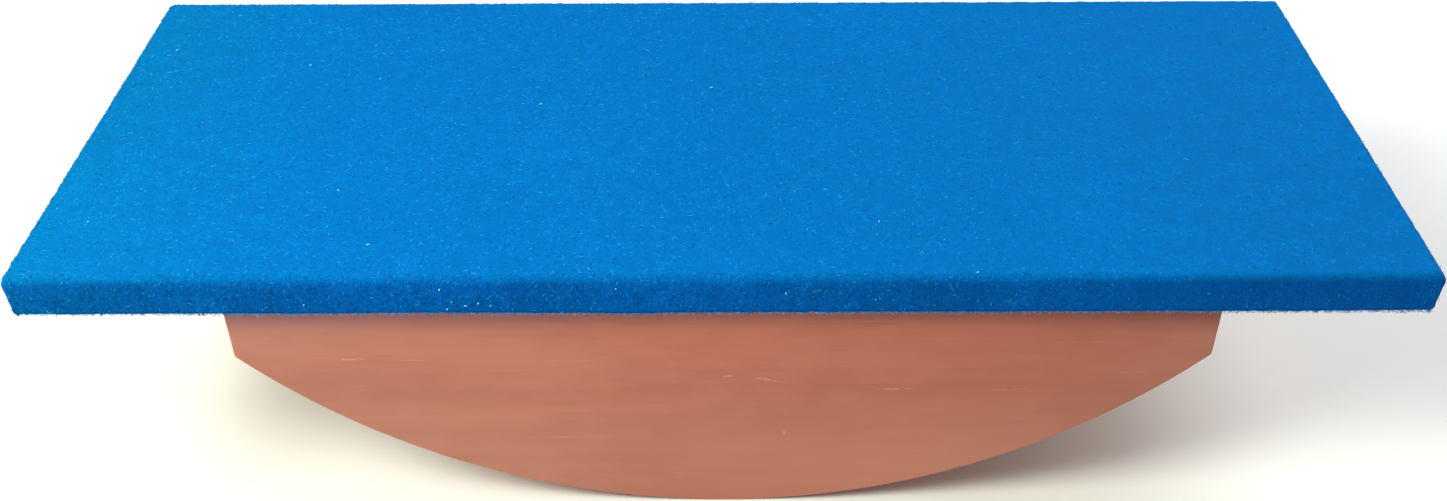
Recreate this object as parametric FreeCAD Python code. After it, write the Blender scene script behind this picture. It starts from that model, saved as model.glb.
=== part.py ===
import FreeCAD, Part
import math
import os

# Balance board: a felt-covered plywood deck on two hardwood rockers.
# Millimetres. X runs along the deck, the way the board rocks. Y runs across
# it, from the front rocker (-Y) to the rear rocker (+Y). Z is up. The origin
# is on the floor, under the middle of the deck.

# ---- driving dimensions ----
board_length = 600.0      # over the felt
board_width = 243.0       # over the felt
felt_thickness = 3.0
ply_thickness = 15.0
deck_edge_round = 1.0     # the plywood's top edges and corners, under the felt

rocker_length = 425.0
rocker_shoulder = 29.5    # straight end of a rocker, above its arc
rocker_sagitta = 90.0     # height of the arc
rocker_middle_arc = 10.0  # middle one of the arc's three stretches
rocker_thickness = 25.0
rocker_setback = 6.0      # from the felt's side to the rocker's outer face
rocker_edge_round = 1.2
rocker_corner_round = 2.5

rail_offset = 150.0       # rail's centre from the middle of the board
rail_thickness = 22.0
rail_height = 45.0

screw_length = 50.0
screw_radius = 2.25
screw_head_radius = 4.5
screw_head_height = 2.8
screw_tip_height = 6.0
screw_tip_radius = 0.3
recess_length = 5.0
recess_slot = 1.1
recess_depth = 1.9
rocker_screw_pitch = 90.0
rocker_screw_count = 5
rail_screw_offset = 45.0

dowel_radius = 4.0
dowel_chamfer = 1.0
dowel_in_rail = 25.0
dowel_in_rocker = 15.0
dowel_edge_distance = 11.0

# ---- tolerances for picking edges ----
parallel_cosine = 0.999   # edges this nearly along an axis count as parallel to it
same_place = 1e-3
clear_of_top = 1.0        # edges further than this below a rocker's top get eased

# ---- sizes that follow from them ----
ply_length = board_length - 2 * felt_thickness
ply_width = board_width - 2 * felt_thickness
ply_bottom = rocker_shoulder + rocker_sagitta
ply_top = ply_bottom + ply_thickness
felt_top = ply_top + felt_thickness
felt_edge_round = deck_edge_round + felt_thickness
arc_radius = rocker_length ** 2 / (8 * rocker_sagitta) + rocker_sagitta / 2
rocker_outer = board_width / 2 - rocker_setback
rocker_inner = rocker_outer - rocker_thickness
rocker_middle = (rocker_outer + rocker_inner) / 2

SIDES = {"front": -1, "rear": 1}
ENDS = {"left": -1, "right": 1}
LEVELS = {"upper": ply_bottom - dowel_edge_distance,
          "lower": ply_bottom - rail_height + dowel_edge_distance}

os.makedirs("parts", exist_ok=True)


def vec(x, y, z):
    return FreeCAD.Vector(x, y, z)


def centred_box(length, width, height, bottom):
    corner = vec(-length / 2, -width / 2, bottom)
    return Part.makeBox(length, width, height, corner)


def parallel_edges(shape, axis):
    """Straight edges of a shape that run along an axis."""
    found = []
    for edge in shape.Edges:
        if isinstance(edge.Curve, Part.Line) and abs(edge.Curve.Direction.dot(axis)) > parallel_cosine:
            found.append(edge)
    return found


def eased_block(length, width, height, bottom, radius):
    """Box with its upright corners and its top edges rounded."""
    block = centred_box(length, width, height, bottom)
    rounded = parallel_edges(block, vec(0, 0, 1))
    for edge in block.Edges:
        if edge.BoundBox.ZMin > bottom + height / 2:
            rounded.append(edge)
    return block.makeFillet(radius, rounded)


# ---- fasteners ----
def screw_body():
    """Countersunk wood screw, head up, with the top of its head at z = 0."""
    tip_top = -(screw_length - screw_tip_height)
    profile = Part.makePolygon([
        vec(0, 0, 0),
        vec(screw_head_radius, 0, 0),
        vec(screw_radius, 0, -screw_head_height),
        vec(screw_radius, 0, tip_top),
        vec(screw_tip_radius, 0, -screw_length),
        vec(0, 0, -screw_length),
        vec(0, 0, 0)])
    full_turn = 360
    return Part.Face(profile).revolve(vec(0, 0, 0), vec(0, 0, 1), full_turn)


def cross_recess():
    """The driver's recess in a screw's head."""
    bar = centred_box(recess_length, recess_slot, recess_depth, -recess_depth)
    other = centred_box(recess_slot, recess_length, recess_depth, -recess_depth)
    return bar.fuse(other)


def rocker_screw_places(side):
    """Tops of the screws that hold one rocker, from left to right."""
    places = []
    for index in range(rocker_screw_count):
        x = (index - (rocker_screw_count - 1) / 2) * rocker_screw_pitch
        places.append(vec(x, side * rocker_middle, ply_top))
    return places


def rail_screw_places(end):
    """Tops of the two screws that hold one rail, front first."""
    x = end * rail_offset
    return [vec(x, side * rail_screw_offset, ply_top) for side in SIDES.values()]


def placed(shape, place):
    copy = shape.copy()
    copy.translate(place)
    return copy


def dowel(end, side, level):
    """Chamfered dowel across the joint between a rail and a rocker."""
    length = dowel_in_rail + dowel_in_rocker
    start = side * (rocker_inner - dowel_in_rail)
    pin = Part.makeCylinder(dowel_radius, length, vec(end * rail_offset, start, level), vec(0, side, 0))
    rims = [edge for edge in pin.Edges if edge.Closed and not isinstance(edge.Curve, Part.Line)]
    return pin.makeChamfer(dowel_chamfer, rims)


# ---- wood ----
def arc_point(angle, y):
    """Point on a rocker's lower edge, at an angle from its lowest point."""
    return vec(arc_radius * math.sin(angle), y, arc_radius * (1 - math.cos(angle)))


def lower_edge(y):
    """The rocker's arc from right to left: one circle in three stretches.

    A faceted copy of the arc has a flat about as long as the middle stretch
    at its lowest line. The arc itself has none.
    """
    full = math.asin(rocker_length / 2 / arc_radius)
    middle = rocker_middle_arc / 2 / arc_radius
    turns = [full, middle, -middle, -full]
    edges = []
    for start, end in zip(turns, turns[1:]):
        points = [arc_point(angle, y) for angle in (start, (start + end) / 2, end)]
        edges.append(Part.Arc(*points).toShape())
    return edges


def rocker(side):
    """Plank with square ends and a circular lower edge, its edges eased."""
    half = rocker_length / 2
    y = side * rocker_middle - rocker_thickness / 2
    top_left = vec(-half, y, ply_bottom)
    top_right = vec(half, y, ply_bottom)
    end_right = vec(half, y, rocker_sagitta)
    end_left = vec(-half, y, rocker_sagitta)
    outline = Part.Wire([
        Part.LineSegment(top_left, top_right).toShape(),
        Part.LineSegment(top_right, end_right).toShape(),
        *lower_edge(y),
        Part.LineSegment(end_left, top_left).toShape()])
    plank = Part.Face(outline).extrude(vec(0, rocker_thickness, 0))
    corners = [edge for edge in parallel_edges(plank, vec(0, 1, 0))
               if abs(edge.BoundBox.ZMax - rocker_sagitta) < same_place]
    plank = plank.makeFillet(rocker_corner_round, corners)
    eased = []
    for edge in plank.Edges:
        runs_along_face = edge.BoundBox.YLength < same_place
        below_top = edge.BoundBox.ZMin < ply_bottom - clear_of_top
        if runs_along_face and below_top:
            eased.append(edge)
    return plank.makeFillet(rocker_edge_round, eased)


def rail(end):
    """Rail under the deck, between the two rockers."""
    corner = vec(end * rail_offset - rail_thickness / 2, -rocker_inner, ply_bottom - rail_height)
    bar = Part.makeBox(rail_thickness, 2 * rocker_inner, rail_height, corner)
    lower = [edge for edge in parallel_edges(bar, vec(0, 1, 0))
             if edge.BoundBox.ZMax < ply_bottom - rail_height / 2]
    return bar.makeFillet(rocker_edge_round, lower)


def deck_board():
    return eased_block(ply_length, ply_width, ply_thickness, ply_bottom, deck_edge_round)


# ---- felt ----
def carpet_cover():
    """Felt over the deck's top and four sides, trimmed level with its underside."""
    height = ply_thickness + felt_thickness
    covered = eased_block(board_length, board_width, height, ply_bottom, felt_edge_round)
    return covered.cut(deck_board())


# ---- assembly ----
def build():
    nodes = {"carpet_cover": carpet_cover()}
    deck = deck_board()
    rockers = {name: rocker(side) for name, side in SIDES.items()}
    rails = {name: rail(end) for name, end in ENDS.items()}
    body = screw_body()
    screw = body.cut(cross_recess())

    for name, side in SIDES.items():
        for number, place in enumerate(rocker_screw_places(side), 1):
            hole = placed(body, place)
            deck = deck.cut(hole)
            rockers[name] = rockers[name].cut(hole)
            nodes[f"rocker_screw_{name}_{number}"] = placed(screw, place)

    for name, end in ENDS.items():
        for number, place in enumerate(rail_screw_places(end), 1):
            hole = placed(body, place)
            deck = deck.cut(hole)
            rails[name] = rails[name].cut(hole)
            nodes[f"rail_screw_{name}_{number}"] = placed(screw, place)

    for end_name, end in ENDS.items():
        for side_name, side in SIDES.items():
            for level_name, level in LEVELS.items():
                pin = dowel(end, side, level)
                rails[end_name] = rails[end_name].cut(pin)
                rockers[side_name] = rockers[side_name].cut(pin)
                nodes[f"dowel_{end_name}_{side_name}_{level_name}"] = pin

    nodes["deck_board"] = deck
    for name, shape in rockers.items():
        nodes[f"rocker_{name}"] = shape
    for name, shape in rails.items():
        nodes[f"cross_rail_{name}"] = shape
    return nodes


def single_solid(shape):
    return shape.Solids[0] if len(shape.Solids) == 1 else shape


for node, shape in build().items():
    solid = single_solid(shape)
    solid.exportStep(f"parts/{node}.step")
    print(node, solid.isValid(), len(solid.Solids), round(solid.Volume / 1000, 2), "cm3")
print("arc radius", round(arc_radius, 1), "overall height", felt_top)
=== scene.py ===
import math
import random

import bmesh
import bpy
from mathutils import Matrix, Vector, noise


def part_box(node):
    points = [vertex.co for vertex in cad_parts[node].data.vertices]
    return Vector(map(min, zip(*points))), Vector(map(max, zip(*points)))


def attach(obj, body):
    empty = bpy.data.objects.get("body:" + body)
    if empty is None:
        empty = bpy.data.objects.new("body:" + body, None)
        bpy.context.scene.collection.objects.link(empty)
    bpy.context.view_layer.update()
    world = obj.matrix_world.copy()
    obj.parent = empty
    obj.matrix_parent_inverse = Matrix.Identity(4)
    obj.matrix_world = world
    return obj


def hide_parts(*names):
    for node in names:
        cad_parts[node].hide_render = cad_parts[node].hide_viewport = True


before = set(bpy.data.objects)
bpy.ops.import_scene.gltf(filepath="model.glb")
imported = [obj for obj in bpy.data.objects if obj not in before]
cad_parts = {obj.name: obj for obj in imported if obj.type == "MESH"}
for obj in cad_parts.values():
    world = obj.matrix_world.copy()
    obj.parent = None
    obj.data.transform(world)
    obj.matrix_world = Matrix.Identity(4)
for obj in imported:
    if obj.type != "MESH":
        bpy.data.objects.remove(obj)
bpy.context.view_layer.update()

# Balance board: felt-covered deck on two hardwood rockers. Metres, in the CAD's own frame:
# X along the deck, -Y the front, Z up from the floor.

MM = 0.001
felt_low, felt_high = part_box("carpet_cover")
deck_low, deck_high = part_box("deck_board")
rocker_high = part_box("rocker_front")[1]


# ---------------------------------------------------------------- node helpers
class Nodes:
    """A material's node tree, with short calls for the nodes that this script uses."""

    def __init__(self, name):
        self.material = bpy.data.materials.new(name)
        self.material.use_nodes = True
        self.tree = self.material.node_tree
        self.shader = self.tree.nodes["Principled BSDF"]

    def add(self, kind, **settings):
        node = self.tree.nodes.new(kind)
        for key, value in settings.items():
            setattr(node, key, value)
        return node

    def link(self, source, target):
        self.tree.links.new(source, target)

    def set(self, **values):
        """Constant sockets of the shader, by name with underscores for spaces."""
        for key, value in values.items():
            self.shader.inputs[key.replace("_", " ")].default_value = value

    def place(self):
        """The point on the object, in the frame, in metres."""
        return self.add("ShaderNodeTexCoord").outputs["Object"]

    def stretched(self, scale):
        """The point with each axis scaled, so that a texture is drawn out along the small ones."""
        node = self.add("ShaderNodeMapping")
        node.inputs["Scale"].default_value = scale
        self.link(self.place(), node.inputs["Vector"])
        return node.outputs["Vector"]

    def coordinate(self, axis):
        """Where the point is along one of the frame's axes, in metres."""
        split = self.add("ShaderNodeSeparateXYZ")
        self.link(self.place(), split.inputs[0])
        return split.outputs[axis]

    def noise(self, vector, scale, detail=2.0, roughness=0.5, distortion=0.0):
        node = self.add("ShaderNodeTexNoise")
        node.inputs["Scale"].default_value = scale
        node.inputs["Detail"].default_value = detail
        node.inputs["Roughness"].default_value = roughness
        node.inputs["Distortion"].default_value = distortion
        self.link(vector, node.inputs["Vector"])
        return node.outputs["Fac"]

    def spots(self, vector, scale):
        """Distance from the nearest of a cloud of points, in cells."""
        node = self.add("ShaderNodeTexVoronoi")
        node.inputs["Scale"].default_value = scale
        self.link(vector, node.inputs["Vector"])
        return node.outputs["Distance"]

    def remap(self, value, low, high, to_low=0.0, to_high=1.0):
        node = self.add("ShaderNodeMapRange")
        node.inputs["From Min"].default_value = low
        node.inputs["From Max"].default_value = high
        node.inputs["To Min"].default_value = to_low
        node.inputs["To Max"].default_value = to_high
        self.link(value, node.inputs["Value"])
        return node.outputs["Result"]

    def math(self, operation, first, second):
        node = self.add("ShaderNodeMath", operation=operation)
        for socket, value in zip(node.inputs, (first, second)):
            if isinstance(value, (int, float)):
                socket.default_value = value
            else:
                self.link(value, socket)
        return node.outputs[0]

    def total(self, *values):
        result = values[0]
        for value in values[1:]:
            result = self.math("ADD", result, value)
        return result

    def mix(self, factor, first, second):
        """Colour between two, each a colour or a socket."""
        node = self.add("ShaderNodeMix", data_type="RGBA")
        for socket, value in ((node.inputs[0], factor), (node.inputs[6], first), (node.inputs[7], second)):
            if isinstance(value, bpy.types.NodeSocket):
                self.link(value, socket)
            else:
                socket.default_value = value if isinstance(value, float) else (*value, 1.0)
        return node.outputs[2]

    def tinted(self, colour, tint):
        """A colour or a socket, with each channel multiplied."""
        node = self.add("ShaderNodeVectorMath", operation="MULTIPLY")
        node.inputs[1].default_value = tint
        if isinstance(colour, bpy.types.NodeSocket):
            self.link(colour, node.inputs[0])
        else:
            node.inputs[0].default_value = colour
        return node.outputs[0]

    def ramp(self, value, stops):
        """Colour along a list of (position, colour)."""
        node = self.add("ShaderNodeValToRGB")
        ramp = node.color_ramp
        while len(ramp.elements) < len(stops):
            ramp.elements.new(0.5)
        for element, (position, colour) in zip(ramp.elements, stops):
            element.position = position
            element.color = (*colour, 1.0)
        self.link(value, node.inputs["Fac"])
        return node.outputs["Color"]

    def bump(self, height, distance, strength=1.0):
        node = self.add("ShaderNodeBump")
        node.inputs["Distance"].default_value = distance
        node.inputs["Strength"].default_value = strength
        self.link(height, node.inputs["Height"])
        self.link(node.outputs["Normal"], self.shader.inputs["Normal"])

    def normal_share(self, axis):
        """How much the surface faces along an axis, from 0 to 1."""
        split = self.add("ShaderNodeSeparateXYZ")
        self.link(self.add("ShaderNodeNewGeometry").outputs["Normal"], split.inputs[0])
        return self.math("ABSOLUTE", split.outputs[axis], 0.0)

    def colour(self, socket):
        self.link(socket, self.shader.inputs["Base Color"])

    def roughness(self, socket):
        self.link(socket, self.shader.inputs["Roughness"])


def tone(colour, factor):
    return tuple(min(1.0, channel * factor) for channel in colour)


# ---------------------------------------------------------------- felt
FELT_BLUE = (0.0004, 0.132, 0.440)
# The felt's blue for its sides, darker than the top's: painted shade.
FELT_PAINTED_SHADE_SIDE_BLUE = (0.0004, 0.095, 0.400)
FELT_END_BLUE = (0.001, 0.27, 0.72)
FELT_SHEEN = (0.02, 0.45, 1.0, 1.0)
# Tint for the board's left end: painted light.
PAINTED_LEFT_LIGHT_TINT = (1.0, 1.10, 0.93)

# How the felt changes along the board, as the X where each change starts and where it is complete.
# Where the painted light at the left end sets in.
PAINTED_LEFT_LIGHT_SPAN = (-0.18, -0.30)
# Where the sides' painted shade deepens towards the right end.
SIDE_PAINTED_SHADE_SPAN = (0.05, 0.22)
SMOOTH_SPAN = (0.04, 0.22)


def painted_left_light(n, colour):
    """The colour, a little greener towards the board's left end: painted light from the left."""
    return n.mix(n.remap(n.coordinate("X"), *PAINTED_LEFT_LIGHT_SPAN), colour, n.tinted(colour, PAINTED_LEFT_LIGHT_TINT))


def painted_shade_felt_side(n, shade, point):
    """Colours of the felt's sides: darker than the top and darker to the right, both painted shade, with
    darker sweeps.
    """
    dark = tone(FELT_PAINTED_SHADE_SIDE_BLUE, 0.62)
    side = n.ramp(shade, [(0.36, dark), (0.50, FELT_PAINTED_SHADE_SIDE_BLUE), (0.64, tone(FELT_PAINTED_SHADE_SIDE_BLUE, 1.45))])
    sweep = n.remap(n.noise(point, 17.0, 2.0, 0.5), 0.34, 0.66, 0.0, 0.42)
    side = n.mix(sweep, side, dark)
    # Darker towards the right end: painted shade.
    to_right = n.remap(n.coordinate("X"), *SIDE_PAINTED_SHADE_SPAN, 0.0, 0.30)
    return n.mix(to_right, side, tone(FELT_PAINTED_SHADE_SIDE_BLUE, 0.55))


def felt_material():
    """Needle-punched felt: matted fibre ends in several blues, mottled, with a soft sheen."""
    n = Nodes("felt_blue")
    point = n.place()
    fibre = n.noise(point, 1500.0, 4.0, 0.75, 0.6)
    tuft = n.noise(point, 420.0, 3.0, 0.6, 0.4)
    mottle = n.noise(point, 95.0, 3.0, 0.55)
    cloud = n.noise(point, 11.0, 2.0, 0.5)
    shade = n.total(n.math("MULTIPLY", fibre, 0.46), n.math("MULTIPLY", tuft, 0.30),
                    n.math("MULTIPLY", mottle, 0.14), n.math("MULTIPLY", cloud, 0.10))
    top = n.ramp(shade, [(0.36, tone(FELT_BLUE, 0.88)), (0.50, FELT_BLUE), (0.64, tone(FELT_BLUE, 1.36))])
    # Faces turned away from up take the darker side colours: painted shade.
    faces_up = n.remap(n.normal_share("Z"), 0.35, 0.85)
    felt = n.mix(faces_up, painted_shade_felt_side(n, shade, point), top)
    ends = n.remap(n.spots(point, 560.0), 0.10, 0.24, 1.0, 0.0)
    lit = n.math("MULTIPLY", ends, n.remap(mottle, 0.42, 0.62, 0.15, 0.8))
    felt = n.mix(lit, felt, FELT_END_BLUE)
    # Darker along the felt's lower edge: painted shade.
    hem = n.remap(n.coordinate("Z"), felt_low.z + 0.4 * MM, felt_low.z + 2.2 * MM, 0.45, 0.0)
    n.colour(painted_left_light(n, n.mix(hem, felt, tone(FELT_PAINTED_SHADE_SIDE_BLUE, 0.45))))
    n.roughness(n.remap(tuft, 0.3, 0.7, 0.88, 1.0))
    n.set(Specular_IOR_Level=0.02, Sheen_Weight=0.12, Sheen_Roughness=0.5, Sheen_Tint=FELT_SHEEN)
    relief = n.total(n.math("MULTIPLY", fibre, 0.45), n.math("MULTIPLY", tuft, 0.55))
    standing = n.remap(n.coordinate("X"), *SMOOTH_SPAN, 1.0, 0.45)
    n.bump(n.math("MULTIPLY", relief, standing), 0.4 * MM, 0.8)
    return n.material


def plain_fibre(name, colour):
    """Fibres too thin to carry a pattern: their variety is in their colours and their curl."""
    n = Nodes(name)
    # The fibres carry the same painted light towards the left end.
    n.colour(painted_left_light(n, colour))
    n.set(Roughness=0.9, Specular_IOR_Level=0.03)
    return n.material


# The felt's edge is a quarter round. Its four upright corners bulge a little more than a quarter round.
# At the deck's two short ends it is pulled in towards its lower edge.
EDGE_ROUND = 3.9 * MM
EDGE_TURNS = (0, 18, 36, 54, 72, 90)    # degrees
CORNER_ROUND = 4.0 * MM
CORNER_SHARPNESS = 3.2
END_TUCK = 1.7 * MM
GRID_STEP = 1.5 * MM
BACK_CLEARANCE = 0.02 * MM
SIDE_ROWS = 10
CORNER_STEPS = 5
TRIM_REACH = 6 * MM                     # how far up the side the uneven lower edge shows

# A tab of felt is left hanging from the front's lower edge, between these two places along it.
TAB_LEFT, TAB_RIGHT = -51.0, -26.0      # mm
TAB_FADE = 2.5                          # mm
TAB_DROP = 0.55 * MM


def clamp(value):
    return min(1.0, max(0.0, value))


def smooth_noise(point, size, seed):
    """Noise from -1 to 1, with lumps of about that size."""
    return noise.noise(Vector(point) / size + Vector((seed * 7.3, seed * 3.1, seed)))


def felt_height(point, on_edge):
    """How far the felt's surface stands out from its plain shape."""
    tufts = 0.13 * MM * smooth_noise(point, 2.6 * MM, 1)
    lumps = 0.12 * MM * smooth_noise(point, 9.0 * MM, 2)
    swell = 0.16 * MM * smooth_noise(point, 70.0 * MM, 3)
    ragged = on_edge * 0.20 * MM * smooth_noise(point, 4.2 * MM, 4)
    return tufts + lumps + swell + ragged


def trim_line(point):
    """How far the hand-cut lower edge strays upwards from level."""
    wander = 0.28 * MM * smooth_noise(point, 45.0 * MM, 5)
    nibble = 0.10 * MM * smooth_noise(point, 3.5 * MM, 6)
    x, y = point[0] / MM, point[1]
    in_tab = clamp((x - TAB_LEFT) / TAB_FADE) * clamp((TAB_RIGHT - x) / TAB_FADE)
    tab = -TAB_DROP * in_tab if y < 0 else 0.0
    return wander + nibble + tab


def edge_loop(half_x, half_y, count_x, count_y):
    """Points round the flat of the top, each with the direction in which the felt folds down there."""
    corners = [(-half_x, -half_y), (half_x, -half_y), (half_x, half_y), (-half_x, half_y)]
    counts = [count_x, count_y, count_x, count_y]
    loop = []
    for side in range(4):
        start, end = Vector(corners[side]), Vector(corners[(side + 1) % 4])
        facing = math.radians(-90 + 90 * side)
        for i in range(counts[side] + 1):
            loop.append((start.lerp(end, i / counts[side]), facing))
        for i in range(1, CORNER_STEPS):
            loop.append((end, facing + math.radians(90) * i / CORNER_STEPS))
    return loop


def corner_bulge(facing):
    """How much further out than a circle the felt lies at that turn round an upright corner."""
    power = CORNER_SHARPNESS
    return (abs(math.cos(facing)) ** power + abs(math.sin(facing)) ** power) ** (-1 / power)


def felt_profile():
    """(distance out, height, how much it is on an edge) down the felt's side and up behind it.

    The rows of the felt's back have None instead of a share.
    """
    top, bottom = felt_high.z, felt_low.z
    rows = []
    for degrees in EDGE_TURNS:
        a = math.radians(degrees)
        out = CORNER_ROUND - EDGE_ROUND + EDGE_ROUND * math.sin(a)
        rows.append((out, top - EDGE_ROUND + EDGE_ROUND * math.cos(a), math.sin(2 * a)))
    side_height = top - EDGE_ROUND - bottom
    for i in range(1, SIDE_ROWS):
        rows.append((CORNER_ROUND, top - EDGE_ROUND - side_height * i / SIDE_ROWS, 0.0))
    cut_edge = [(0.15 * MM, 0.25 * MM, 0.4), (0.7 * MM, 0.0, 0.0)]
    for inwards, height, on_edge in cut_edge:
        rows.append((CORNER_ROUND - inwards, bottom + height, on_edge))
    back = CORNER_ROUND - (felt_high.x - deck_high.x) + BACK_CLEARANCE
    rows.append((back, bottom, None))
    rows.append((back, deck_high.z + BACK_CLEARANCE, None))
    return rows


def cover_point(corner, facing, out, height, on_edge):
    """Where the felt's side or back lies, that far out from a point round the flat of the top."""
    way = Vector((math.cos(facing), math.sin(facing), 0.0))
    if on_edge is None:
        place = Vector((corner.x, corner.y, height)) + way * out
        if height < deck_low.z + MM:
            place.z += trim_line(place)
        return place
    place = Vector((corner.x, corner.y, height)) + way * out * corner_bulge(facing)
    slope = clamp((height - felt_high.z + EDGE_ROUND) / EDGE_ROUND)
    proud = (way * (1 - slope) + Vector((0, 0, slope))).normalized()
    share = min(1.0, (felt_high.z - EDGE_ROUND - height) / TRIM_REACH) if slope == 0 else 0.0
    place += proud * felt_height(place, on_edge)
    place.x -= way.x * END_TUCK * (felt_high.z - height) / (felt_high.z - felt_low.z)
    place.z += trim_line(place) * share ** 2
    return place


def build_felt():
    """The cover as one closed sheet: a fine grid on top, rows of faces down its sides, and its back."""
    half_x = felt_high.x - CORNER_ROUND
    half_y = felt_high.y - CORNER_ROUND
    count_x = round(2 * half_x / GRID_STEP)
    count_y = round(2 * half_y / GRID_STEP)
    bm = bmesh.new()
    grid = {}
    for i in range(count_x + 1):
        for j in range(count_y + 1):
            x = -half_x + 2 * half_x * i / count_x
            y = -half_y + 2 * half_y * j / count_y
            point = (x, y, felt_high.z)
            grid[i, j] = bm.verts.new((x, y, felt_high.z + felt_height(point, 0.0)))
    for i in range(count_x):
        for j in range(count_y):
            bm.faces.new((grid[i, j], grid[i + 1, j], grid[i + 1, j + 1], grid[i, j + 1]))

    loop = edge_loop(half_x, half_y, count_x, count_y)
    previous = []
    for point, _ in loop:
        i = round((point.x + half_x) / (2 * half_x) * count_x)
        j = round((point.y + half_y) / (2 * half_y) * count_y)
        previous.append(grid[i, j])
    for out, height, on_edge in felt_profile():
        ring = []
        for point, facing in loop:
            ring.append(bm.verts.new(cover_point(point, facing, out, height, on_edge)))
        for a in range(len(loop)):
            b = (a + 1) % len(loop)
            corners = [previous[a], previous[b], ring[b], ring[a]]
            if previous[a] is previous[b]:
                corners.pop(1)
            bm.faces.new(corners)
        previous = ring
    bm.faces.new(list(reversed(previous)))
    bmesh.ops.recalc_face_normals(bm, faces=bm.faces)
    for face in bm.faces:
        face.smooth = True
    mesh = bpy.data.meshes.new("felt_cover")
    bm.to_mesh(mesh)
    bm.free()
    mesh.materials.append(felt_material())
    cover = bpy.data.objects.new("felt_cover", mesh)
    bpy.context.scene.collection.objects.link(cover)
    return cover


# ---------------------------------------------------------------- loose fibres on the felt
TOP_MARGIN = 3 * MM
FIBRE_STEPS = 4
FIBRE_BEND = 0.5        # radians a step, kept up along the whole fibre
FIBRE_WOBBLE = 0.25     # radians a step, new at each
ROOT_DEPTH = 0.15 * MM
FIBRE_DEPTH = 0.02 * MM


def top_point(rng, where):
    """A random point on the near or far half of the felt's top, with its normal and a direction along it."""
    x = rng.uniform(felt_low.x + TOP_MARGIN, felt_high.x - TOP_MARGIN)
    outer = felt_low.y + TOP_MARGIN if where == "near half" else felt_high.y - TOP_MARGIN
    return Vector((x, rng.uniform(outer, 0.0), felt_high.z)), Vector((0, 0, 1)), Vector((1, 0, 0))


def section_point(rng, where):
    """(turn from upright, distance out, height) of a random point on the rounded edge, side or hem."""
    turn = math.radians(90)
    if where == "edge":
        turn = math.radians(rng.uniform(5, 80))
        return turn, EDGE_ROUND * (math.sin(turn) - 1), felt_high.z - EDGE_ROUND * (1 - math.cos(turn))
    if where == "side":
        return turn, 0.0, rng.uniform(felt_low.z + 0.5 * MM, felt_high.z - EDGE_ROUND)
    return turn, -rng.uniform(0.1, 0.8) * MM, felt_low.z + rng.uniform(0.0, 0.3) * MM


def felt_surface(rng, where):
    """A random point on one region of the felt, with its normal and a direction along the surface."""
    if where in ("near half", "far half"):
        return top_point(rng, where)
    length, width = felt_high.x - felt_low.x, felt_high.y - felt_low.y
    along = rng.uniform(0, 2 * (length + width))
    turn, out, height = section_point(rng, where)
    sides = [(length, (felt_low.x, felt_low.y), Vector((1, 0, 0)), Vector((0, -1, 0))),
             (width, (felt_high.x, felt_low.y), Vector((0, 1, 0)), Vector((1, 0, 0))),
             (length, (felt_high.x, felt_high.y), Vector((-1, 0, 0)), Vector((0, 1, 0))),
             (width, (felt_low.x, felt_high.y), Vector((0, -1, 0)), Vector((-1, 0, 0)))]
    for span, corner, way, facing in sides:
        if along <= span:
            break
        along -= span
    along = min(max(along, CORNER_ROUND), span - CORNER_ROUND)
    place = Vector((*corner, height)) + way * along + facing * out
    normal = facing * math.sin(turn) + Vector((0, 0, math.cos(turn)))
    return place, normal, way


def curl(rng, root, normal, way, heading, length, rise):
    """Points of one curly fibre that lies along the felt's uneven surface and lifts a little off it."""
    across = normal.cross(way)
    bend = rng.gauss(0, FIBRE_BEND)
    place = root.copy()
    points = [root + normal * (felt_height(root, 0.0) - ROOT_DEPTH)]
    for i in range(1, FIBRE_STEPS + 1):
        heading += bend + rng.gauss(0, FIBRE_WOBBLE)
        place += (way * math.cos(heading) + across * math.sin(heading)) * (length / FIBRE_STEPS)
        lift = rise * math.sin(math.pi * min(1.0, i / FIBRE_STEPS * 1.1))
        points.append(place + normal * (felt_height(place, 0.0) + lift - FIBRE_DEPTH))
    return points


def tube(verts, faces, tints, points, radius, tint):
    """Adds a closed three-sided fibre that tapers to a point at both ends."""
    first = len(verts)
    verts.append(points[0])
    for previous, point, following in zip(points, points[1:], points[2:]):
        along = (following - previous).normalized()
        side = along.orthogonal().normalized()
        other = along.cross(side)
        for k in range(3):
            a = math.tau * k / 3
            verts.append(point + (side * math.cos(a) + other * math.sin(a)) * radius)
    verts.append(points[-1])
    rings = len(points) - 2
    for k in range(3):
        k2 = (k + 1) % 3
        faces.append((first, first + 1 + k2, first + 1 + k))
        for r in range(rings - 1):
            low, high = first + 1 + 3 * r, first + 4 + 3 * r
            faces.append((low + k, low + k2, high + k2, high + k))
        last = first + 1 + 3 * (rings - 1)
        faces.append((last + k, last + k2, first + 1 + 3 * rings))
    tints.extend([tint] * (len(faces) - len(tints)))


FIBRE_TINTS = {
    "fibre_pale": (0.030, 0.46, 0.90),
    "fibre_light": FELT_END_BLUE,
    "fibre_mid": (0.001, 0.15, 0.46),
    "fibre_deep": (0.0004, 0.075, 0.27),
    "lint_white": (0.42, 0.95, 1.0),
}
FIBRE_MATERIALS = {name: plain_fibre(name, colour) for name, colour in FIBRE_TINTS.items()}


def fibre_piece(name, strands, tint_names):
    """One object from a list of (points, radius, tint number)."""
    verts, faces, tints = [], [], []
    for points, radius, tint in strands:
        tube(verts, faces, tints, points, radius, tint)
    mesh = bpy.data.meshes.new(name)
    mesh.from_pydata(verts, [], faces)
    for tint in tint_names:
        mesh.materials.append(FIBRE_MATERIALS[tint])
    mesh.polygons.foreach_set("material_index", tints)
    mesh.polygons.foreach_set("use_smooth", [True] * len(faces))
    mesh.update()
    piece = bpy.data.objects.new(name, mesh)
    bpy.context.scene.collection.objects.link(piece)
    return piece


# The felt is smoother towards the board's right end: fewer fibres stand out of its top, edge and sides.
SLEEK_START = 20 * MM
SLEEK_SPAN = 180 * MM
SLEEK_MOST = 0.80
DOWN = -math.pi / 2


def sleekness(x):
    """Share of the loose fibres that are left out there."""
    return SLEEK_MOST * clamp((x - SLEEK_START) / SLEEK_SPAN)


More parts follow.
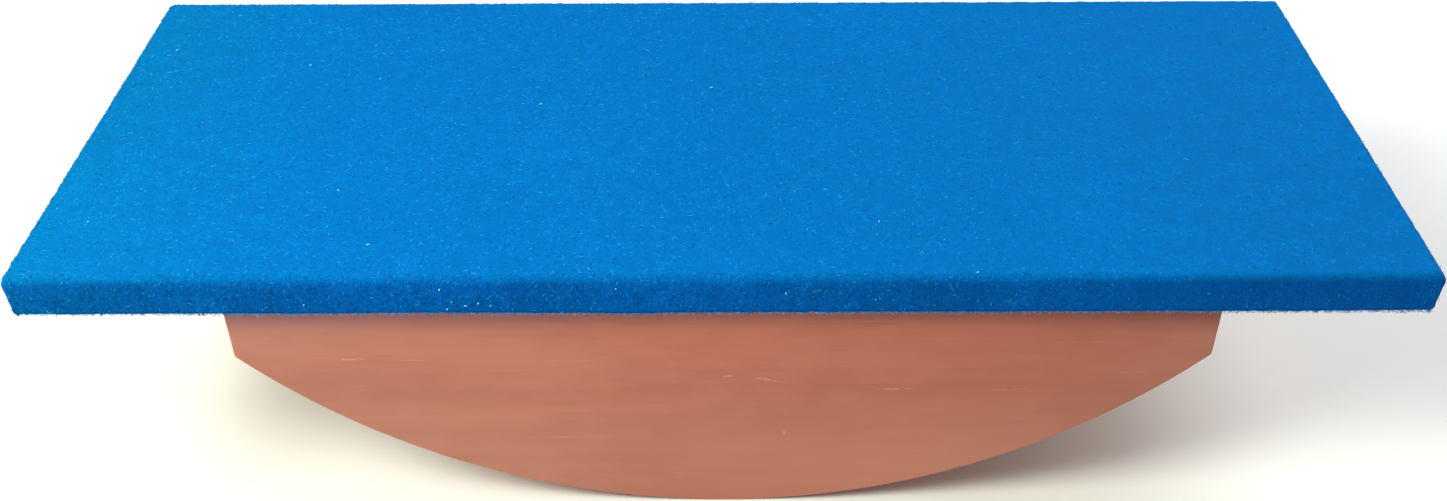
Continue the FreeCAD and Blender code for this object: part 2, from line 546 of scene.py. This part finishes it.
def scatter(name, where, count, lengths, radii, rise, tints, seed):
    """A piece of random fibres. Sizes are in millimetres, and tints is a list of (name, share)."""
    rng = random.Random(seed)
    names = [tint for tint, _ in tints]
    shares = [share for _, share in tints]
    lengths = [size * MM for size in lengths]
    radii = [size * MM for size in radii]
    strands = []
    for _ in range(count):
        root, normal, way = felt_surface(rng, where)
        heading = rng.gauss(DOWN, 0.5) if where == "hem" else rng.uniform(0, math.tau)
        length = rng.uniform(*lengths)
        points = curl(rng, root, normal, way, heading, length, rise * MM * rng.uniform(0.4, 1.0))
        tint = rng.choices(range(len(names)), shares)[0]
        if where != "hem" and rng.random() < sleekness(root.x):
            continue
        strands.append((points, rng.uniform(*radii), tint))
    return fibre_piece(name, strands, names)


# White lint caught in the felt: (x, y on the top, length, heading in degrees), in millimetres.
TOP_LINT = [(-280.5, 69, 1.6, 40), (-208.5, 53.5, 2.0, 70), (-170.5, 39.5, 1.1, 30), (-88, 15, 1.6, 20),
            (-5.5, 30, 1.5, 10), (-150.5, -97.5, 1.8, 15), (-171.5, -57.5, 1.1, 140), (68, -82, 1.0, 120),
            (-275.5, -80.5, 0.9, 60), (106, -118, 1.2, 20)]
# The same on the front side: (x, z, length, heading).
FRONT_LINT = [(-117, 132.5, 1.3, 50), (-115, 122.3, 1.1, 10), (-174.5, 124.7, 0.9, 80),
              (-107, 124, 1.2, 160), (-101.7, 125.2, 0.9, 60), (-96.5, 124, 0.6, 30),
              (-44, 132.8, 0.9, 70), (26.4, 130, 1.2, 110), (64, 126.7, 0.6, 30), (-112.7, 126, 0.6, 20)]
LINT_RADIUS = 0.25 * MM
LINT_LIFT = 0.25 * MM
LINT_BOW = 0.25         # of its length
LINT_STEPS = 5
LINT_SEED = 31


def build_lint():
    rng = random.Random(LINT_SEED)
    strands = []
    for x, y, length, degrees in TOP_LINT:
        root = Vector((x * MM, y * MM, felt_high.z))
        root.z += felt_height(root, 0.0) + LINT_RADIUS
        a = math.radians(degrees)
        way = Vector((math.cos(a), math.sin(a), 0))
        strands.append((lint_points(rng, root, Vector((0, 0, 1)), way, length * MM), LINT_RADIUS, 0))
    for x, z, length, degrees in FRONT_LINT:
        root = Vector((x * MM, felt_low.y, z * MM))
        root.y -= felt_height(root, 0.0) + LINT_RADIUS
        a = math.radians(degrees)
        way = Vector((math.cos(a), 0, math.sin(a)))
        strands.append((lint_points(rng, root, Vector((0, -1, 0)), way, length * MM), LINT_RADIUS, 0))
    return fibre_piece("felt_lint", strands, ["lint_white"])


def lint_points(rng, root, normal, way, length):
    """A short bowed strand."""
    across = normal.cross(way)
    bow = rng.uniform(-LINT_BOW, LINT_BOW) * length
    points = []
    for i in range(LINT_STEPS + 1):
        t = i / LINT_STEPS
        arch = math.sin(math.pi * t)
        points.append(root + way * length * (t - 0.5) + across * bow * arch + normal * LINT_LIFT * arch)
    return points


# ---------------------------------------------------------------- wood
class Wood(Nodes):
    """Planed timber with its grain along one axis."""

    def __init__(self, name, grain):
        super().__init__(name)
        self.grain = grain
        self.smudge = self.noise(self.place(), 14.0, 2.0, 0.5)
        self.fine = self.noise(self.drawn_out(0.02), 1300.0, 2.0, 0.5)
        self.pores = self.remap(self.noise(self.drawn_out(0.04), 900.0, 1.0, 0.4), 0.66, 0.74)
        self.end_grain = self.remap(self.normal_share(grain), 0.55, 0.9)

    def drawn_out(self, share):
        """The point, with the grain's axis shrunk to that share."""
        scale = [1.0, 1.0, 1.0]
        scale["XYZ".index(self.grain)] = share
        return self.stretched(scale)

    def figure(self):
        """Broad, soft growth bands with a little streak in them, about 0.5."""
        bands = self.noise(self.drawn_out(0.10), 34.0, 2.0, 0.5, 0.5)
        streak = self.noise(self.drawn_out(0.03), 190.0, 2.0, 0.5, 0.3)
        blotch = self.noise(self.drawn_out(0.5), 110.0, 2.0, 0.5)
        return self.total(self.math("MULTIPLY", bands, 0.36), self.math("MULTIPLY", streak, 0.14),
                          self.math("MULTIPLY", self.fine, 0.12), self.math("MULTIPLY", blotch, 0.18),
                          self.math("MULTIPLY", self.smudge, 0.20))

    def grained(self, value, colours):
        dark, middle, light = colours
        return self.ramp(value, [(0.40, dark), (0.50, middle), (0.60, light)])

    def finish(self, colour, colours, roughness, coat, dents=None):
        """Pores, end grain, gloss and relief, over the figure's colour."""
        dark, middle, _ = colours
        colour = self.mix(self.math("MULTIPLY", self.pores, 0.06), colour, tone(dark, 0.6))
        rings = self.noise(self.place(), 420.0, 3.0, 0.6, 0.8)
        ends = self.ramp(rings, [(0.35, tone(dark, 0.62)), (0.65, tone(middle, 0.86))])
        self.colour(self.mix(self.end_grain, colour, ends))
        self.roughness(self.total(self.remap(self.smudge, 0.3, 0.7, roughness - 0.06, roughness + 0.07),
                                  self.math("MULTIPLY", self.pores, 0.15),
                                  self.math("MULTIPLY", self.end_grain, 0.15)))
        self.set(Specular_IOR_Level=0.4, Coat_Weight=coat, Coat_Roughness=0.35)
        relief = self.total(self.math("MULTIPLY", self.fine, 0.4), self.math("MULTIPLY", self.pores, -0.5))
        if dents is not None:
            relief = self.math("SUBTRACT", relief, dents)
        self.bump(relief, 0.10 * MM, 0.5)
        return self.material


def timber_material(name, colours, grain, roughness):
    wood = Wood(name, grain)
    return wood.finish(wood.grained(wood.figure(), colours), colours, roughness, 0.0)


ROCKER_TAN = ((0.402, 0.152, 0.100), (0.452, 0.175, 0.115), (0.493, 0.199, 0.131))
ROCKER_RED = ((0.386, 0.097, 0.055), (0.442, 0.117, 0.069), (0.488, 0.137, 0.082))
# Colours of the painted shade under the deck; the bluish one also holds painted light reflected off the
# felt.
ROCKER_RED_PAINTED_SHADE = (0.24, 0.026, 0.010)
ROCKER_BLUE_PAINTED_SHADE = (0.24, 0.080, 0.130)
# Paler tone for the low, right-hand part of the rockers: painted bounce light from the floor.
ROCKER_PAINTED_BOUNCE_LIGHT = (0.57, 0.226, 0.155)
BLACK = (0.0, 0.0, 0.0)
RAIL_COLOURS = ((0.38, 0.150, 0.090), (0.47, 0.200, 0.125), (0.54, 0.250, 0.160))
BEECH_COLOURS = ((0.50, 0.32, 0.18), (0.60, 0.41, 0.25), (0.68, 0.49, 0.32))
BIRCH_COLOURS = ((0.50, 0.35, 0.21), (0.62, 0.46, 0.30), (0.70, 0.55, 0.38))

# Streaks and nicks on the front rocker: (x, z, half length, half height, slope, strength), in millimetres.
# A negative strength is a darker streak.
ROCKER_STROKES = [(-162, 88.8, 9, 0.7, 0.00, 0.80), (-137, 88.2, 12, 0.6, -0.02, 0.40),
                  (-68, 87.5, 16, 0.6, 0.00, 0.30), (2, 78.4, 3, 0.7, 0.10, 0.80),
                  (20, 76.3, 9, 0.8, -0.22, 0.75), (76, 70.6, 9, 0.6, 0.00, 0.60),
                  (127, 70.3, 11, 0.7, 0.05, 0.50), (179, 80.0, 10, 0.6, 0.05, 0.35),
                  (56, 109.5, 34, 0.5, 0.00, 0.25), (150, 97.5, 26, 0.5, 0.02, 0.20),
                  (27.6, 43.7, 0.8, 2.4, 0.30, 0.75), (-70, 41.5, 30, 1.0, 0.02, 0.22),
                  (-16, 18.2, 12, 0.7, 0.00, 0.25), (-60, 70.0, 34, 1.1, 0.02, -0.35),
                  (60, 79.0, 30, 1.0, -0.03, -0.35), (32, 73.0, 60, 2.4, 0.00, -0.30),
                  (127, 82.0, 45, 2.2, 0.01, -0.25)]
STROKE_PALE = (0.66, 0.275, 0.190)

# Places along the rocker: the X where each change starts and where it is complete.
RED_SPAN = (-0.19, -0.04)
TAN_RIGHT_SPAN = (0.170, 0.210)
# Where the painted bounce light low down spreads along the rocker.
PAINTED_BOUNCE_SPAN = (-0.03, 0.10)
# Where the painted shade at the rocker's right end sets in.
PAINTED_SHADE_RIGHT_SPAN = (0.08, 0.18)
# Where the painted shade band under the deck turns from bluish to reddish, and where it narrows.
BAND_HUE_SPAN = (-0.12, 0.18)
BAND_THIN_LEFT = (-0.09, -0.02)
BAND_THIN_RIGHT = (0.22, 0.13)
BAND_THINNING = 4.5 * MM
# And heights on it.
# Heights over which the rocker turns redder upwards: partly the wood's own tone, partly painted bounce light
# low down.
RED_HEIGHTS = (0.0, 0.10)
# Heights over which the painted bounce light fades out upwards.
PAINTED_BOUNCE_HEIGHTS = (0.095, 0.03)
# Heights over which the painted shade under the deck fades in.
BAND_HEIGHTS = (rocker_high.z - 19 * MM, rocker_high.z - 8 * MM)


def rocker_colour(wood):
    """Tan at the plank's ends, redder between them and high up, paler low down towards the right as painted
    bounce light, and darker at the right end as painted shade.
    """
    x, z = wood.coordinate("X"), wood.coordinate("Z")
    along = wood.math("SUBTRACT", wood.remap(x, *RED_SPAN, 0.0, 0.60),
                      wood.remap(x, *TAN_RIGHT_SPAN, 0.0, 0.40))
    # Redder higher up and tanner low down: partly the wood's own tone, partly painted bounce light low down.
    high = wood.remap(z, *RED_HEIGHTS, 0.0, 0.40)
    patches = wood.noise(wood.drawn_out(0.35), 13.0, 2.0, 0.5)
    redness = wood.total(along, high, wood.remap(patches, 0.3, 0.7, -0.30, 0.30))
    figure = wood.figure()
    colour = wood.mix(wood.remap(redness, 0.0, 1.0), wood.grained(figure, ROCKER_TAN),
                      wood.grained(figure, ROCKER_RED))
    # Paler low down towards the right: painted bounce light.
    painted_bounce = wood.math("MULTIPLY", wood.remap(z, *PAINTED_BOUNCE_HEIGHTS),
                         wood.remap(x, *PAINTED_BOUNCE_SPAN, 0.10, 0.60))
    colour = wood.mix(painted_bounce, colour, ROCKER_PAINTED_BOUNCE_LIGHT)
    # A little darker towards the right end: painted shade.
    return wood.mix(wood.remap(x, *PAINTED_SHADE_RIGHT_SPAN, 0.0, 0.09), colour, BLACK)


def painted_shade_band(wood, colour):
    """The colour, with painted shade in a dark band along the plank's top under the deck: bluish on the
    left, where it also holds painted light reflected off the felt, and reddish on the right.

    The band is narrower towards the middle.
    """
    x, z = wood.coordinate("X"), wood.coordinate("Z")
    middle = wood.math("MULTIPLY", wood.remap(x, *BAND_THIN_LEFT), wood.remap(x, *BAND_THIN_RIGHT))
    level = wood.math("SUBTRACT", z, wood.math("MULTIPLY", middle, BAND_THINNING))
    to_right = wood.remap(x, *BAND_HUE_SPAN)
    shade = wood.mix(to_right, ROCKER_BLUE_PAINTED_SHADE, ROCKER_RED_PAINTED_SHADE)
    strength = wood.remap(to_right, 0.0, 1.0, 0.45, 0.62)
    return wood.mix(wood.math("MULTIPLY", wood.remap(level, *BAND_HEIGHTS), strength), colour, shade)


def rocker_material(name, strokes=()):
    """Satin hardwood, with worn streaks where they are given."""
    wood = Wood(name, "X")
    # The colour carries painted shade under the deck and at the right end, and painted bounce light low
    # down; both rockers share it.
    colour = painted_shade_band(wood, rocker_colour(wood))
    dents = None
    for x, z, half_length, half_height, slope, strength in strokes:
        mark = stroke_mask(wood, x, z, half_length, half_height, slope)
        paint = STROKE_PALE if strength > 0 else ROCKER_RED[0]
        colour = wood.mix(wood.math("MULTIPLY", mark, abs(strength)), colour, paint)
        dents = mark if dents is None else wood.math("MAXIMUM", dents, mark)
    return wood.finish(colour, ROCKER_RED, 0.44, 0.12, dents)


def stroke_mask(n, x, z, half_length, half_height, slope):
    """A worn streak on the front rocker's face: 1 on it, fading out, broken up along its length."""
    dx = n.math("SUBTRACT", n.coordinate("X"), x * MM)
    dz = n.math("SUBTRACT", n.math("SUBTRACT", n.coordinate("Z"), z * MM), n.math("MULTIPLY", dx, slope))
    along = n.math("POWER", n.math("DIVIDE", dx, half_length * MM), 2.0)
    across = n.math("POWER", n.math("DIVIDE", dz, half_height * MM), 2.0)
    mask = n.remap(n.math("ADD", along, across), 0.2, 1.0, 1.0, 0.0)
    broken = n.remap(n.noise(n.stretched((0.3, 1.0, 1.0)), 900.0, 2.0), 0.40, 0.62)
    front = n.math("LESS_THAN", n.coordinate("Y"), rocker_high.y - 12 * MM)
    return n.math("MULTIPLY", n.math("MULTIPLY", mask, broken), front)


ZINC_DARK, ZINC_LIGHT = (0.55, 0.46, 0.25), (0.72, 0.65, 0.42)


def screw_material():
    """Yellow-passivated zinc: a faintly patchy plating."""
    n = Nodes("screw_zinc")
    patch = n.noise(n.place(), 700.0, 3.0)
    n.colour(n.ramp(patch, [(0.35, ZINC_DARK), (0.65, ZINC_LIGHT)]))
    n.roughness(n.remap(patch, 0.3, 0.7, 0.28, 0.42))
    n.set(Metallic=1.0)
    return n.material


PLY_PAIRS = 5           # pairs of a light and a dark layer in the deck's thickness
PLY_DARK = (0.30, 0.19, 0.10)


def plywood_material():
    """Birch-faced plywood: face veneer above and below, and a stack of crossed plies at its edges."""
    n = Nodes("plywood_birch")
    face = n.noise(n.stretched((0.06, 1.0, 1.0)), 75.0, 4.0, 0.55, 0.8)
    veneer = n.ramp(face, [(0.34, BIRCH_COLOURS[0]), (0.50, BIRCH_COLOURS[1]), (0.66, BIRCH_COLOURS[2])])
    depth = n.math("SUBTRACT", n.coordinate("Z"), deck_low.z)
    ply = n.math("SINE", n.math("MULTIPLY", depth, math.tau * PLY_PAIRS / (deck_high.z - deck_low.z)), 0.0)
    speck = n.noise(n.place(), 900.0, 2.0)
    layer = n.total(n.math("MULTIPLY", ply, 0.3), n.math("MULTIPLY", speck, 0.4), 0.3)
    stack = n.ramp(layer, [(0.25, PLY_DARK), (0.75, BIRCH_COLOURS[1])])
    n.colour(n.mix(n.remap(n.normal_share("Z"), 0.4, 0.8), stack, veneer))
    n.roughness(n.remap(face, 0.3, 0.7, 0.55, 0.72))
    n.set(Specular_IOR_Level=0.3)
    n.bump(n.noise(n.stretched((0.05, 1.0, 1.0)), 1200.0, 2.0), 0.08 * MM, 0.5)
    return n.material


def dress_cad_nodes():
    """Gives each CAD piece its material, all but the cover, which the felt sheet replaces."""
    looks = {
        "rocker_front": rocker_material("rocker_hardwood_front", ROCKER_STROKES),
        "rocker_rear": rocker_material("rocker_hardwood_rear"),
        "cross_rail": timber_material("rail_hardwood", RAIL_COLOURS, "Y", 0.60),
        "dowel": timber_material("dowel_beech", BEECH_COLOURS, "Y", 0.65),
        "deck_board": plywood_material(),
    }
    zinc = screw_material()
    for name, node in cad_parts.items():
        if "screw" in name:
            look = zinc
        else:
            matches = [value for key, value in looks.items() if name.startswith(key)]
            if not matches:
                continue
            look = matches[0]
        if not node.material_slots:
            node.data.materials.append(look)
        for slot in node.material_slots:
            slot.material = look


# ---------------------------------------------------------------- studio
FLOOR_REACH = 6.0
FLOOR_DARK, FLOOR_LIGHT = (0.90, 0.90, 0.90), (0.92, 0.92, 0.92)


def build_floor():
    """A plain pale floor with a faint unevenness of tone."""
    n = Nodes("studio_floor")
    tint = n.noise(n.place(), 1.5, 2.0)
    n.colour(n.ramp(tint, [(0.3, FLOOR_DARK), (0.7, FLOOR_LIGHT)]))
    n.set(Roughness=0.9, Specular_IOR_Level=0.1)
    mesh = bpy.data.meshes.new("floor")
    corners = [(-1, -1), (1, -1), (1, 1), (-1, 1)]
    mesh.from_pydata([(x * FLOOR_REACH, y * FLOOR_REACH, 0) for x, y in corners], [], [(0, 1, 2, 3)])
    mesh.materials.append(n.material)
    floor = bpy.data.objects.new("floor", mesh)
    bpy.context.scene.collection.objects.link(floor)


def soft_box(name, place, aim, size, power, colour):
    lamp = bpy.data.lights.new(name, "AREA")
    lamp.shape = "RECTANGLE"
    lamp.size, lamp.size_y = size
    lamp.energy = power
    lamp.color = colour
    light = bpy.data.objects.new(name, lamp)
    light.location = place
    light.rotation_mode = "QUATERNION"
    light.rotation_quaternion = (Vector(aim) - Vector(place)).to_track_quat("-Z", "Y")
    bpy.context.scene.collection.objects.link(light)


def build_world(strength):
    world = bpy.data.worlds.new("studio")
    world.use_nodes = True
    world.node_tree.nodes["Background"].inputs["Color"].default_value = (1.0, 1.0, 1.0, 1.0)
    world.node_tree.nodes["Background"].inputs["Strength"].default_value = strength
    bpy.context.scene.world = world


CAMERA_TURNS = (-0.30, 37.28, -0.35)            # yaw, pitch down and roll, degrees
CAMERA_FROM_EDGE = (0.0033, -0.4834, 0.3828)    # from the middle of the deck's top front edge
CAMERA_LENS = 37.22
SENSOR_WIDTH = 36.0


def build_camera():
    """Looks down at the board from in front, a little right of its middle."""
    yaw, pitch, roll = (math.radians(a) for a in CAMERA_TURNS)
    forward = Vector((math.sin(yaw) * math.cos(pitch), math.cos(yaw) * math.cos(pitch), -math.sin(pitch)))
    level = Vector((math.cos(yaw), -math.sin(yaw), 0.0))
    upright = level.cross(forward)
    right = level * math.cos(roll) + upright * math.sin(roll)
    up = upright * math.cos(roll) - level * math.sin(roll)
    data = bpy.data.cameras.new("camera")
    data.sensor_width = SENSOR_WIDTH
    data.lens = CAMERA_LENS
    data.clip_start = 0.01
    camera = bpy.data.objects.new("camera", data)
    turn = Matrix((right, up, -forward)).transposed().to_4x4()
    front_edge = Vector((0.0, felt_low.y, felt_high.z))
    camera.matrix_world = Matrix.Translation(front_edge + Vector(CAMERA_FROM_EDGE)) @ turn
    bpy.context.scene.collection.objects.link(camera)
    bpy.context.scene.camera = camera


build_camera()
build_floor()
build_world(strength=0.25)
soft_box("key", place=(-0.70, -0.50, 0.88), aim=(0.0, 0.0, 0.05), size=(0.5, 0.5), power=15.5,
         colour=(0.95, 1.0, 0.85))
soft_box("backdrop", place=(1.20, 1.40, 1.30), aim=(0.9, 0.9, 0.0), size=(1.2, 1.2), power=45.0,
         colour=(0.95, 0.98, 1.0))
bpy.context.scene.view_settings.view_transform = "Standard"

dress_cad_nodes()
felt = build_felt()
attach(felt, "root")
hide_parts("carpet_cover")

TOP_TINTS = [("fibre_pale", 0.27), ("fibre_light", 0.53), ("fibre_mid", 0.20)]
EDGE_TINTS = [("fibre_pale", 0.18), ("fibre_light", 0.54), ("fibre_mid", 0.28)]
# The sides' fibres lean to darker tints than the top's: painted shade, as for the felt's side colour.
SIDE_TINTS = [("fibre_pale", 0.13), ("fibre_light", 0.28), ("fibre_mid", 0.34), ("fibre_deep", 0.25)]
FRINGE_TINTS = [("fibre_pale", 0.40), ("fibre_light", 0.40), ("fibre_mid", 0.20)]
# Name, region of the felt, count, lengths, radii and rise in millimetres, tints, seed.
FUZZ = [
    ("felt_fuzz_near", "near half", 10500, (1.0, 3.4), (0.05, 0.14), 0.14, TOP_TINTS, 11),
    ("felt_fuzz_far", "far half", 9500, (1.0, 3.6), (0.05, 0.14), 0.14, TOP_TINTS, 15),
    ("felt_fuzz_edge", "edge", 5000, (0.8, 2.6), (0.05, 0.12), 0.25, EDGE_TINTS, 12),
    ("felt_fuzz_side", "side", 7500, (1.0, 3.4), (0.045, 0.12), 0.35, SIDE_TINTS, 13),
    ("felt_fuzz_hem", "hem", 11000, (0.7, 2.3), (0.055, 0.10), 0.3, FRINGE_TINTS, 14),
]
fuzz = [scatter(*row) for row in FUZZ]
fuzz.append(build_lint())
for piece in fuzz:
    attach(piece, "root")
